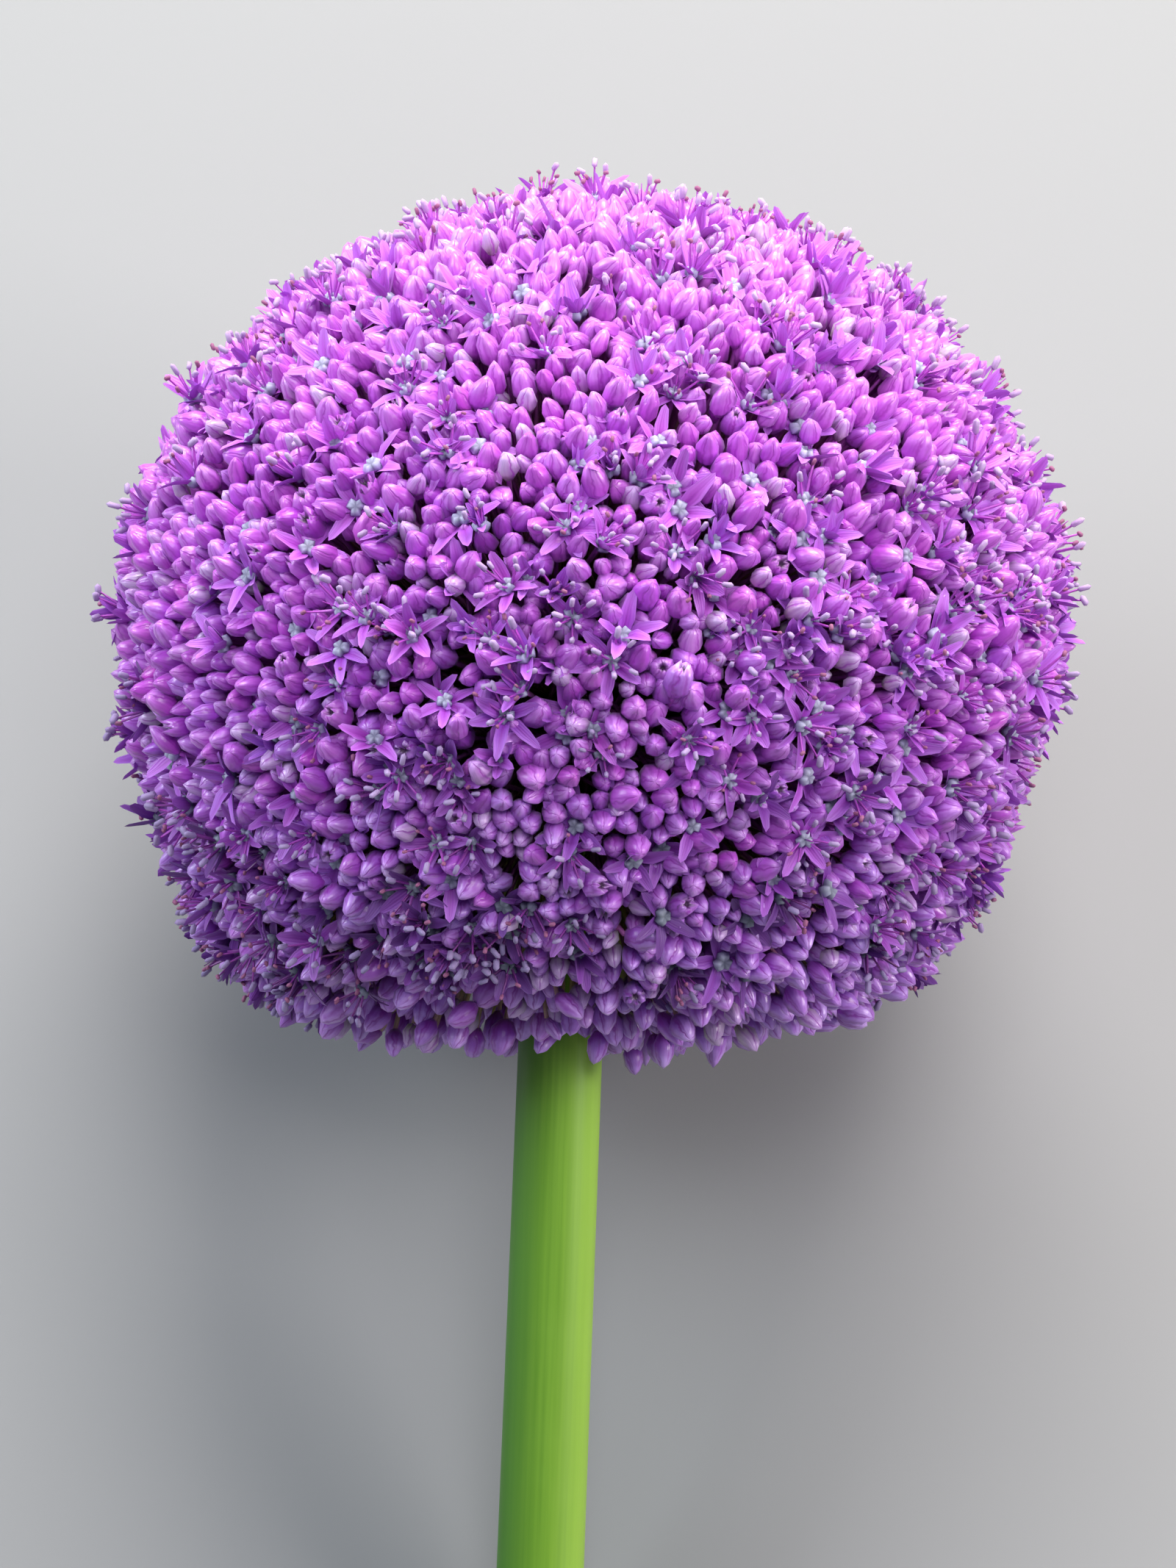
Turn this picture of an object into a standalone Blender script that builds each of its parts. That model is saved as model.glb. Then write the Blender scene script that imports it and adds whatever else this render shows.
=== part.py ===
"""Allium flower head, cut with a short length of scape and laid on its side.

The plant is modelled as it grows: +Z up the scape, the origin where the flower stalks spring from.
An empty then tips it over, until the head and the cut end of the scape both rest on the ground plane.
"""

import math

import bmesh
import bpy
from mathutils import Matrix, Vector

# Driving dimensions, in metres
HEAD_WIDTH = 0.150
HEAD_HEIGHT = 0.137
HEAD_RISE = 0.018  # the middle of the head, above the point that the stalks spring from
HEAD_LEAN = 0.003  # and to the side of it
PRESSED_IN = 0.0018  # how far the ground pushes in the florets that the head rests on
SCAPE_LENGTH = 0.150  # from the springing point down to the cut
SCAPE_TOP_RADIUS = 0.0063
SCAPE_CUT_RADIUS = 0.0067
RECEPTACLE_RADIUS = 0.0080  # the dome on top of the scape
CUT_CHAMFER = 0.0003
SPRAY_COUNT = 44
FLORET_COUNT = 528
LOWEST_TIP_ANGLE = math.radians(165)  # from straight up, of the florets that hang beside the scape
LOWEST_ROOT_ANGLE = math.radians(124)  # of those same florets, where they leave the dome

# Each spray: a pad on the dome, and its florets on their stalks
PAD_INNER_RADIUS = RECEPTACLE_RADIUS + 0.00045  # less where its flat underside cuts across the dome
PAD_OUTER_RADIUS = PAD_INNER_RADIUS + 0.0012
STALK_RADIUS = 0.00036
NECK_RADIUS = 0.0006
GATHER = 0.3  # how far a spray's roots are drawn in towards its middle
FLORET_LENGTH = 0.0100
FLORET_SPREAD = 0.052  # a floret's widest radius, as a share of how far its tip reaches
WIDEST_AT = 0.45  # of a floret's length, from its tip

# The two withered valves of the spathe, folded down along the scape
SPATHE_LENGTH = 0.0315
SPATHE_WIDTH = 0.0085
SPATHE_THICKNESS = 0.0004
SPATHE_TOP = -0.0085
SPATHE_GAP = 0.0003
SPATHE_FLARE = 0.0040  # how far its tip stands off the scape

ROUND_SIDES = 32
SHARP_ABOVE = math.radians(40)  # edges that turn more than this stay sharp
GOLDEN_ANGLE = math.pi * (3 - math.sqrt(5))


def clear_scene():
    for obj in list(bpy.data.objects):
        bpy.data.objects.remove(obj)


def make_material(name, colour, roughness):
    material = bpy.data.materials.new(name)
    material.use_nodes = True
    shader = material.node_tree.nodes["Principled BSDF"]
    shader.inputs["Base Color"].default_value = (*colour, 1)
    shader.inputs["Roughness"].default_value = roughness
    shader.inputs["Metallic"].default_value = 0
    return material


def lying_angle():
    """The angle between the scape and the ground, with head and cut end both down."""
    reach = SCAPE_LENGTH + HEAD_RISE
    angle = 0.0
    for _ in range(30):
        across = HEAD_WIDTH / 2 * math.cos(angle)
        along = HEAD_HEIGHT / 2 * math.sin(angle)
        middle = math.hypot(across, along) - PRESSED_IN
        angle = math.asin((middle - SCAPE_CUT_RADIUS * math.cos(angle)) / reach)
    return angle


LYING_ANGLE = lying_angle()
LAY_DOWN = Matrix.Rotation(LYING_ANGLE - math.pi / 2, 3, "X")
SPRINGING_HEIGHT = SCAPE_LENGTH * math.sin(LYING_ANGLE) + SCAPE_CUT_RADIUS * math.cos(LYING_ANGLE)


def direction_at(polar, azimuth):
    """A unit vector, at this angle from straight up and this one around the scape."""
    return Vector(
        (
            math.sin(polar) * math.cos(azimuth),
            math.sin(polar) * math.sin(azimuth),
            math.cos(polar),
        )
    )


def spiral_angles(count, lowest):
    """Evenly spaced (polar, azimuth) pairs in a golden-angle spiral, from the top down to lowest."""
    cap_height = 1 - math.cos(lowest)
    for step in range(count):
        polar = math.acos(1 - (step + 0.5) / count * cap_height)
        yield polar, step * GOLDEN_ANGLE


def tip_distance(direction):
    """How far the head's outline is from the springing point, stopping at the ground."""
    size = Vector((HEAD_WIDTH, HEAD_WIDTH, HEAD_HEIGHT)) / 2
    ray = Vector(d / s for d, s in zip(direction, size))
    middle = Vector((HEAD_LEAN / size.x, 0, HEAD_RISE / size.z))
    along = ray.dot(middle)
    distance = (along + math.sqrt(along**2 + ray.length_squared * (1 - middle.length_squared))) / ray.length_squared
    fall = -(LAY_DOWN @ direction).z
    if fall > 0:
        distance = min(distance, SPRINGING_HEIGHT / fall)
    return distance


def floret_places():
    """(root direction on the dome, tip point) of every floret."""
    for polar, azimuth in spiral_angles(FLORET_COUNT, LOWEST_TIP_ANGLE):
        root = direction_at(polar * LOWEST_ROOT_ANGLE / LOWEST_TIP_ANGLE, azimuth)
        outward = direction_at(polar, azimuth)
        yield root, outward * tip_distance(outward)


def ring_points(centre, axis, radius):
    """The corners of a triangle around the axis."""
    side = axis.orthogonal().normalized() * radius
    return [centre + Matrix.Rotation(turn * math.tau / 3, 3, axis) @ side for turn in range(3)]


def grow_face(bm, face, centre, radius):
    """Extrudes a floret's end face to a triangle of this radius around the new centre."""
    grown = bmesh.ops.extrude_discrete_faces(bm, faces=[face])["faces"][0]
    old_centre = grown.calc_center_median()
    scale = radius / (grown.verts[0].co - old_centre).length
    for vert in grown.verts:
        vert.co = centre + (vert.co - old_centre) * scale
    return grown


def grow_floret(bm, ring, tip):
    """A stalk from its root triangle on the pad, swelling into a floret with a pointed tip."""
    face = next(f for f in ring[0].link_faces if set(f.verts) == set(ring))
    root = face.calc_center_median()
    outward = (tip - root).normalized()
    face = grow_face(bm, face, tip - outward * FLORET_LENGTH, NECK_RADIUS)
    face = grow_face(bm, face, tip - outward * FLORET_LENGTH * WIDEST_AT, FLORET_SPREAD * tip.length)
    point = bmesh.ops.poke(bm, faces=[face])["verts"][0]
    point.co = tip


def object_from(bm, name, material, plant):
    bmesh.ops.recalc_face_normals(bm, faces=bm.faces)
    mesh = bpy.data.meshes.new(name)
    bm.to_mesh(mesh)
    bm.free()
    mesh.shade_smooth()
    mesh.set_sharp_from_angle(angle=SHARP_ABOVE)
    mesh.materials.append(material)
    obj = bpy.data.objects.new(name, mesh)
    bpy.context.scene.collection.objects.link(obj)
    obj.parent = plant
    return obj


def make_spray(name, florets, material, plant):
    """One spray: the hull of its florets' roots is its pad, and each floret grows out of the pad."""
    bm = bmesh.new()
    rings = []
    for root, _ in florets:
        bm.verts.new(root * PAD_INNER_RADIUS)
        rings.append([bm.verts.new(p) for p in ring_points(root * PAD_OUTER_RADIUS, root, STALK_RADIUS)])
    hull = bmesh.ops.convex_hull(bm, input=bm.verts)
    bmesh.ops.delete(bm, geom=list(set(hull["geom_interior"] + hull["geom_unused"])), context="VERTS")
    for ring, (_, tip) in zip(rings, florets):
        grow_floret(bm, ring, tip)
    return object_from(bm, name, material, plant)


def make_sprays(material, plant):
    """Gives each floret to the nearest spray centre on the dome."""
    centres = [direction_at(*angles) for angles in spiral_angles(SPRAY_COUNT, LOWEST_ROOT_ANGLE)]
    members = [[] for _ in centres]
    for root, tip in floret_places():
        nearest = max(range(SPRAY_COUNT), key=lambda index: centres[index].dot(root))
        members[nearest].append((root.lerp(centres[nearest], GATHER).normalized(), tip))
    for number, florets in enumerate(members, start=1):
        make_spray(f"floret_spray_{number:02d}", florets, material, plant)


def scape_profile():
    """(radius, height) up the outside of the scape, from the middle of the cut to the top of the dome."""
    yield 0, -SCAPE_LENGTH
    yield SCAPE_CUT_RADIUS - CUT_CHAMFER, -SCAPE_LENGTH
    yield SCAPE_CUT_RADIUS, -SCAPE_LENGTH + CUT_CHAMFER
    yield SCAPE_TOP_RADIUS, -2.2 * RECEPTACLE_RADIUS
    dome_steps = 9
    start = math.radians(128)
    for step in range(dome_steps):
        polar = start * (1 - step / (dome_steps - 1))
        yield RECEPTACLE_RADIUS * math.sin(polar), RECEPTACLE_RADIUS * math.cos(polar)


def make_scape(material, plant):
    """The flower stem and the dome that it swells into, turned from one profile."""
    bm = bmesh.new()
    line = [bm.verts.new((radius, 0, height)) for radius, height in scape_profile()]
    edges = [bm.edges.new(pair) for pair in zip(line, line[1:])]
    bmesh.ops.spin(
        bm, geom=line + edges, cent=(0, 0, 0), axis=(0, 0, 1), angle=math.tau, steps=ROUND_SIDES, use_merge=True
    )
    bmesh.ops.remove_doubles(bm, verts=bm.verts, dist=0.00001)
    return object_from(bm, "scape", material, plant)


def spathe_point(along, across, azimuth, lift):
    """A point on a spathe valve: along is 0 at its root and 1 at its tip, across is -1 to 1."""
    half_width = SPATHE_WIDTH / 2 * (1 - along) ** 0.7 + 0.0004
    radius = SCAPE_TOP_RADIUS + SPATHE_GAP + SPATHE_FLARE * along**2 + lift
    turn = azimuth + across * half_width / radius
    return Vector((radius * math.cos(turn), radius * math.sin(turn), SPATHE_TOP - SPATHE_LENGTH * along))


def make_spathe_valve(name, azimuth, material, plant):
    """A thin curved blade: a grid of points, and the same grid one thickness further out."""
    rows, columns = 7, 5
    bm = bmesh.new()
    layers = []
    for lift in (0, SPATHE_THICKNESS):
        grid = []
        for row in range(rows):
            along = row / (rows - 1)
            across_values = [2 * column / (columns - 1) - 1 for column in range(columns)]
            grid.append([bm.verts.new(spathe_point(along, across, azimuth, lift)) for across in across_values])
        layers.append(grid)
    for grid in layers:
        for upper, lower in zip(grid, grid[1:]):
            for column in range(columns - 1):
                bm.faces.new((upper[column], upper[column + 1], lower[column + 1], lower[column]))
    bmesh.ops.bridge_loops(bm, edges=[e for e in bm.edges if e.is_boundary])
    return object_from(bm, name, material, plant)


def lowest_and_highest(objects):
    """The corners of the box around these objects, in the world."""
    points = [obj.matrix_world @ v.co for obj in objects for v in obj.data.vertices]
    low = Vector(min(p[axis] for p in points) for axis in range(3))
    high = Vector(max(p[axis] for p in points) for axis in range(3))
    return low, high


def lay_plant_down(plant):
    """Tips the plant over and stands its box's bottom centre on the world's origin."""
    plant.rotation_euler = LAY_DOWN.to_euler()
    bpy.context.view_layer.update()
    low, high = lowest_and_highest(plant.children)
    plant.location = (-(low.x + high.x) / 2, -(low.y + high.y) / 2, -low.z)
    bpy.context.view_layer.update()


def main():
    clear_scene()
    plant = bpy.data.objects.new("plant", None)
    bpy.context.scene.collection.objects.link(plant)
    scape_green = make_material("scape_green", (0.20, 0.36, 0.05), 0.45)
    floret_purple = make_material("floret_purple", (0.40, 0.07, 0.50), 0.55)
    spathe_papery = make_material("spathe_papery", (0.55, 0.47, 0.27), 0.80)
    make_scape(scape_green, plant)
    make_sprays(floret_purple, plant)
    make_spathe_valve("spathe_valve_left", math.radians(195), spathe_papery, plant)
    make_spathe_valve("spathe_valve_right", math.radians(15), spathe_papery, plant)
    lay_plant_down(plant)


main()
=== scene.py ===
# %% [markdown]
# # An allium flower head, cut and laid on its side
#
# An allium's flower head is an umbel. Thousands of small flowers stand on stalks that all
# spring from one dome, at the top of a single green stem, which a botanist calls the scape.
# The stalks grow in small clusters, and together their florets make up a ball.
#
# The frame below holds the plain construction: the scape, the two dry valves under the head, and
# sprays of simple florets. This script keeps their place and size, and gives every part its real
# shape and finish. A few small shapes are modelled once each, and Geometry Nodes then set them out
# by the hundred. Each simple floret of the frame becomes about twelve fine ones here.

# %% Load the frame
import math

import bpy
import numpy as np
from mathutils import Matrix, Vector
from mathutils.kdtree import KDTree


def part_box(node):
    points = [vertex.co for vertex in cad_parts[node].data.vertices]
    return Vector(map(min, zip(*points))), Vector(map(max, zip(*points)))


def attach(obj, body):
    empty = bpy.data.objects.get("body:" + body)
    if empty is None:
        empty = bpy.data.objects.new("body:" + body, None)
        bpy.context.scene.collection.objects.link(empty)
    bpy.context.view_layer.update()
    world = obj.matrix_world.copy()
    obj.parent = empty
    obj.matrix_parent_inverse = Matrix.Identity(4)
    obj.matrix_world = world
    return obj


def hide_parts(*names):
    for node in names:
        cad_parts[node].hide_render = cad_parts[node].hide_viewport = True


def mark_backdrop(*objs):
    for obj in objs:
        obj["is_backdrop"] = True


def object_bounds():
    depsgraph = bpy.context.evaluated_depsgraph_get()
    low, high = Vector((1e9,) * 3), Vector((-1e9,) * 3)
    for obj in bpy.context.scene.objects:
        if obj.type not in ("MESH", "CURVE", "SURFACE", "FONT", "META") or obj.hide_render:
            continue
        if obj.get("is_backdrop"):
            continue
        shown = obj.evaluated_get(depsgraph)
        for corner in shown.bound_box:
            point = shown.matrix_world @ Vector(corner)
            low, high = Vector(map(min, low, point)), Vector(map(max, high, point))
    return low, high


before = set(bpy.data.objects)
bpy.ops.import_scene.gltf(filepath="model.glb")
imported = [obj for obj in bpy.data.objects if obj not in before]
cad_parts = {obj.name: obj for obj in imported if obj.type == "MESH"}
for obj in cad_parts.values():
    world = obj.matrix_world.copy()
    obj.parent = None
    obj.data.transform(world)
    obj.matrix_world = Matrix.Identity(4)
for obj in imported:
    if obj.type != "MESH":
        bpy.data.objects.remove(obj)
frame_low, frame_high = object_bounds()
SPRAYS = sorted(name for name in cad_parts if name.startswith("floret_spray"))
print(f"{len(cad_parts)} nodes in the frame, {len(SPRAYS)} of them sprays")

# %% [markdown]
# ## Where the plant lies
#
# The head rests on its side and the cut end of the scape touches the ground, so the scape slopes.
# A plant is easiest to model as it grows, upright, so each part is worked out with +Z up the
# scape and the origin where the stalks spring from. One matrix then lays it down. The scape's box
# gives that matrix: its dome ends the box at the top and at the far end, and its cut rim rests on
# the ground.

# %% Find the springing point and the slope
MM = 0.001
DOME_RADIUS = 8.0 * MM
CUT_RADIUS = 6.7 * MM
NECK_OF_SCAPE = 6.3 * MM
SCAPE_LENGTH = 150.0 * MM
scape_low, scape_high = (Vector(corner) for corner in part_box("scape"))
springing_point = Vector(
    ((scape_low.x + scape_high.x) / 2, scape_high.y - DOME_RADIUS, scape_high.z - DOME_RADIUS)
)
slope = 0.4
for _ in range(20):
    slope = math.asin((springing_point.z - CUT_RADIUS * math.cos(slope)) / SCAPE_LENGTH)
LAY_DOWN = Matrix.Translation(springing_point) @ Matrix.Rotation(slope - math.pi / 2, 4, "X")
print(f"the scape slopes {math.degrees(slope):.1f} degrees, and springs at {tuple(springing_point)}")

# %% [markdown]
# The head is nearly a ball, a little flatter than it is wide. Its widest points are the frame's
# sides, and its top is the frame's far end as the plant grows.

# %% Measure the head
HEAD_WIDTH = frame_high.x - frame_low.x
HEAD_HEIGHT = HEAD_WIDTH * 0.913
HEAD_RISE = 18.0 * MM
HEAD_LEAN = 3.0 * MM
head_half = np.array([HEAD_WIDTH, HEAD_WIDTH, HEAD_HEIGHT]) / 2
head_middle = np.array([HEAD_LEAN, 0, HEAD_RISE])
print(f"the head is {HEAD_WIDTH / MM:.0f} mm wide and {HEAD_HEIGHT / MM:.0f} mm high")

# %% [markdown]
# ## Helpers for nodes
#
# Geometry trees and materials are both made of nodes. One helper adds a node, sets it up and
# plugs in what feeds it, so that a tree reads from top to bottom like a recipe.

# %% Add nodes and sockets
def add(tree, kind, inputs=None, **settings):
    """A new node. Each input gets a value, or a link if its value is another node's socket."""
    node = tree.nodes.new(kind)
    for name, value in settings.items():
        setattr(node, name, value)
    for name, value in (inputs or {}).items():
        socket = next(s for s in node.inputs if s.enabled and s.name == name)
        if isinstance(value, bpy.types.NodeSocket):
            tree.links.new(value, socket)
        else:
            socket.default_value = value
    return node


def show(thing):
    bpy.context.scene.collection.objects.link(thing)


def out(node, name=None):
    """The node's output of this name, or its first."""
    return next(s for s in node.outputs if s.enabled and name in (None, s.name))


def sum_up(tree, operation, first, second=0.0, third=0.0):
    """One sum on numbers: the result's socket."""
    node = tree.nodes.new("ShaderNodeMath")
    node.operation = operation
    for socket, value in zip(node.inputs, (first, second, third)):
        if isinstance(value, bpy.types.NodeSocket):
            tree.links.new(value, socket)
        else:
            socket.default_value = value
    return node.outputs[0]


def times(tree, first, second):
    return sum_up(tree, "MULTIPLY", first, second)


def times_plus(tree, first, second, third):
    """first x second + third"""
    return sum_up(tree, "MULTIPLY_ADD", first, second, third)


def new_group(name, kind, inputs, outputs):
    """An empty node group with named sockets, and its input and output nodes."""
    group = bpy.data.node_groups.new(name, kind)
    for way, sockets in (("INPUT", inputs), ("OUTPUT", outputs)):
        for label, (kind_of_socket, default) in sockets.items():
            kind_of_socket = "NodeSocket" + kind_of_socket
            socket = group.interface.new_socket(label, in_out=way, socket_type=kind_of_socket)
            if default is not None:
                socket.default_value = default
    return group, group.nodes.new("NodeGroupInput").outputs, group.nodes.new("NodeGroupOutput").inputs


print("node helpers ready")

# %% [markdown]
# ## Finishes
#
# Petals get their look from fine veins that run lengthwise, from a paler or darker tip, and from
# no two flowers being quite the same age. The small shapes further on carry what the materials
# need for this: `along` runs from 0 at a part's base to 1 at its tip, `spot` says where a point
# lies round the axis or across a blade, and `chance` and `age` differ from flower to flower.

# %% Shader groups that the finishes share
def make_vein_group():
    """Lengthwise veins on a round or flat part: 1 on a vein and 0 between."""
    group, given, result = new_group(
        "lengthwise_veins",
        "ShaderNodeTree",
        {
            "Position": ("Float", 0.0),
            "Count": ("Float", 12.0),
            "Thinness": ("Float", 3.0),
            "Wobble": ("Float", 0.5),
        },
        {"Vein": ("Float", None)},
    )
    place = out(add(group, "ShaderNodeTexCoord"), "Object")
    noise = add(group, "ShaderNodeTexNoise", {"Vector": place, "Scale": 900.0, "Detail": 1.0})
    shift = times(group, out(noise), given["Wobble"])
    wave = sum_up(group, "COSINE", times_plus(group, given["Position"], given["Count"], shift))
    lifted = times_plus(group, wave, 0.5, 0.5)
    group.links.new(sum_up(group, "POWER", lifted, given["Thinness"]), result["Vein"])
    return group


def make_mottle_group():
    """Soft, uneven colour: a value around 0 that wanders over the surface."""
    group, given, result = new_group(
        "soft_mottle",
        "ShaderNodeTree",
        {"Scale": ("Float", 400.0), "Strength": ("Float", 1.0)},
        {"Value": ("Float", None)},
    )
    place = out(add(group, "ShaderNodeTexCoord"), "Object")
    noise = add(group, "ShaderNodeTexNoise", {"Vector": place, "Scale": given["Scale"], "Detail": 3.0})
    centred = sum_up(group, "SUBTRACT", out(noise), 0.5)
    group.links.new(times(group, centred, given["Strength"]), result["Value"])
    return group


VEINS = make_vein_group()
MOTTLE = make_mottle_group()
print("shader groups:", VEINS.name, MOTTLE.name)

# %% Helpers for materials
def new_material(name, roughness, **settings):
    """A material with a Principled shader. Other numbers go straight onto the shader's sockets."""
    material = bpy.data.materials.new(name)
    material.use_nodes = True
    shader = material.node_tree.nodes["Principled BSDF"]
    shader.inputs["Roughness"].default_value = roughness
    for label, value in settings.items():
        shader.inputs[label.replace("_", " ").title().replace("Ior", "IOR")].default_value = value
    return material, material.node_tree, shader


def attribute(tree, name, output="Fac"):
    return out(add(tree, "ShaderNodeAttribute", attribute_name=name), output)


def ramp(tree, value, stops):
    """A colour ramp through (place, colour) stops. A colour of one number is a grey."""
    node = add(tree, "ShaderNodeValToRGB", {"Fac": value})
    elements = node.color_ramp.elements
    while len(elements) < len(stops):
        elements.new(0.5)
    for element, (place, colour) in zip(elements, stops):
        element.position = place
        element.color = (*np.broadcast_to(colour, 3), 1)
    return out(node)


def blend(tree, share, first, second):
    """Mixes two colours: share 0 is the first and 1 the second."""
    node = add(tree, "ShaderNodeMix", data_type="RGBA", clamp_factor=True)
    for index, value in ((0, share), (6, first), (7, second)):
        if isinstance(value, bpy.types.NodeSocket):
            tree.links.new(value, node.inputs[index])
        elif index:
            node.inputs[index].default_value = (*value, 1)
        else:
            node.inputs[index].default_value = value
    return node.outputs[2]


def use_group(tree, group, inputs):
    node = add(tree, "ShaderNodeGroup", node_tree=group)
    for label, value in inputs.items():
        if isinstance(value, bpy.types.NodeSocket):
            tree.links.new(value, node.inputs[label])
        else:
            node.inputs[label].default_value = value
    return node.outputs[0]


def veins(tree, position, count, thinness, wobble):
    inputs = {"Position": position, "Count": count, "Thinness": thinness, "Wobble": wobble}
    return use_group(tree, VEINS, inputs)


def mottled(tree, scale, strength):
    return use_group(tree, MOTTLE, {"Scale": scale, "Strength": strength})


def place_of(tree, name, axis):
    """One coordinate of a vector that the mesh carries."""
    node = add(tree, "ShaderNodeSeparateXYZ", {"Vector": attribute(tree, name, "Vector")})
    return node.outputs[axis]


def angle_round_axis(tree):
    """The angle of `spot` round the part's axis."""
    return sum_up(tree, "ARCTAN2", place_of(tree, "spot", "Y"), place_of(tree, "spot", "X"))


def paint(tree, shader, colour):
    tree.links.new(colour, shader.inputs["Base Color"])


def bump(tree, shader, height, strength, distance=0.0001):
    node = add(tree, "ShaderNodeBump", {"Height": height, "Strength": strength, "Distance": distance})
    tree.links.new(out(node), shader.inputs["Normal"])


print("material helpers ready")

# %% [markdown]
# A bud's six petals are folded over each other. Each has a deep-coloured middle and paler edges,
# and dark seams, painted shade where the petals overlap, run between them up to the tip. The tip
# is palest, partly by its own colour and partly by a painted highlight. A few buds are still young,
# pale and greenish. All colours, the deep ones too, are warmer and lighter towards the top of the
# head, as painted light, and more violet and darker towards its foot, as painted shade: each
# floret carries a value that runs from 0 at the head's foot to 1 at its top.

# %% Bud finish
DEEP_PURPLE = (0.25, 0.014, 0.36)
# Painted light: the deep colour high on the head.
PAINTED_LIGHT_PURPLE = (0.40, 0.030, 0.46)
MAGENTA = (0.64, 0.024, 0.58)
VIOLET = (0.38, 0.026, 0.68)
# Painted shade low on the head, and painted light at its top.
SHADE_VIOLET = (0.23, 0.030, 0.50)
PAINTED_LIGHT_PINK = (0.67, 0.15, 0.73)
PALE_LILAC = (0.92, 0.44, 0.98)
# Painted highlight: the bluish pale of bud tips low on the head.
PALE_BLUE_HIGHLIGHT = (0.68, 0.42, 0.98)
BUD_FOOT = (0.42, 0.10, 0.40)
YOUNG_GREEN = (0.42, 0.45, 0.30)
YOUNG_LILAC = (0.64, 0.40, 0.78)


def add_sheen(shader, weight):
    """The soft pale bloom that petals show where they are seen edge on."""
    shader.inputs["Sheen Weight"].default_value = weight
    shader.inputs["Sheen Roughness"].default_value = 0.5
    shader.inputs["Sheen Tint"].default_value = (0.82, 0.70, 1.0, 1)


def petal_colour(tree, painted_light, chance, warm, cool):
    """Painted shade makes it violet low on the head and painted light pink on top; by chance it runs from
    warm to cool round its middle.
    """
    middle = blend(tree, chance, warm, cool)
    shaded = ramp(tree, painted_light, [(0.05, 0.85), (0.42, 0)])
    lit = ramp(tree, painted_light, [(0.5, 0), (1.0, 0.85)])
    return blend(tree, lit, blend(tree, shaded, middle, SHADE_VIOLET), PAINTED_LIGHT_PINK)


def painted_shade_below(tree, painted_light, colour, share, shadow):
    """Painted shade: colours that deepen towards the foot of the head."""
    low = ramp(tree, painted_light, [(0.08, share), (0.40, 0)])
    return blend(tree, low, colour, shadow)


def make_bud_material():
    material, tree, shader = new_material("bud_petals", 0.32, specular_ior_level=0.8)
    add_sheen(shader, 0.20)
    along, age, chance, hollow, painted_light = (
        attribute(tree, name) for name in ("along", "age", "chance", "hollow", "painted_light")
    )
    angle = angle_round_axis(tree)
    seam = veins(tree, sum_up(tree, "ADD", angle, 0.62), 3.0, 22.0, 2.4)
    midrib = veins(tree, sum_up(tree, "ADD", angle, 0.05), 6.0, 7.0, 2.6)
    fine = veins(tree, angle, 22.0, 1.0, 6.0)
    patch = mottled(tree, 420.0, 2.2)
    # Painted light and painted shade: pinker high on the head, more violet and darker low on it.
    body = petal_colour(tree, painted_light, chance, MAGENTA, VIOLET)
    # Painted light: the deep colour of veins and seams is warmer high on the head.
    deep = blend(tree, painted_light, DEEP_PURPLE, PAINTED_LIGHT_PURPLE)
    shade = sum_up(tree, "FRACT", times(tree, chance, 7.7))
    varied = blend(tree, times(tree, shade, 0.48), body, deep)
    rooted = blend(tree, ramp(tree, along, [(0, 0.5), (0.35, 0)]), varied, BUD_FOOT)
    upper = ramp(tree, along, [(0.15, 0), (0.6, 0.7), (0.95, 1)])
    paler = sum_up(tree, "FRACT", times(tree, chance, 3.3))
    # The pale tips are partly the buds' own paler colour and partly a painted highlight, which is stronger
    # and bluer low on the head and stronger again at its top.
    painted_highlight_share = ramp(tree, painted_light, [(0.1, 0.50), (0.45, 0.14), (0.75, 0.12), (1.0, 0.28)])
    pale_share = times_plus(tree, paler, 0.42, painted_highlight_share)
    pale_tip_and_highlight = times(tree, times(tree, upper, pale_share), sum_up(tree, "ADD", patch, 0.9))
    tipped = blend(tree, pale_tip_and_highlight, rooted, blend(tree, painted_light, PALE_BLUE_HIGHLIGHT, PALE_LILAC))
    pale = blend(tree, upper, YOUNG_GREEN, YOUNG_LILAC)
    youth = ramp(tree, age, [(0.08, 1), (0.3, 0)])
    grown = blend(tree, youth, tipped, pale)
    lined = blend(tree, times(tree, fine, 0.12), grown, deep)
    fading = ramp(tree, along, [(0.7, 1), (0.95, 0.2)])
    strength = times_plus(tree, youth, -0.25, times_plus(tree, patch, 0.3, 0.58))
    strength = times(tree, strength, fading)
    ribbed = blend(tree, times(tree, midrib, strength), lined, deep)
    # Painted shade: dark seams where the petals overlap.
    seamed = blend(tree, times(tree, seam, 0.85), ribbed, deep)
    # Painted shade: the hollow inside a splitting bud is painted near black.
    paint(tree, shader, blend(tree, hollow, seamed, (0.05, 0.006, 0.06)))
    creases = times_plus(tree, fine, 0.15, times(tree, midrib, 0.4))
    bump(tree, shader, sum_up(tree, "SUBTRACT", patch, sum_up(tree, "ADD", creases, seam)), 0.6)
    return material


BUD_PETALS = make_bud_material()
print("made", BUD_PETALS.name)

# %% [markdown]
# An open petal is a narrow blade, purple with a darker vein down its middle, and paler along its
# rims and towards its tip. Its base is painted darker, as shade in the flower's middle.

# %% Petal, filament, anther, ovary and stalk finishes
PETAL_PLUM = (0.48, 0.036, 0.50)
PETAL_VIOLET = (0.31, 0.050, 0.60)
PETAL_RIM = (0.60, 0.26, 0.84)


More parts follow.
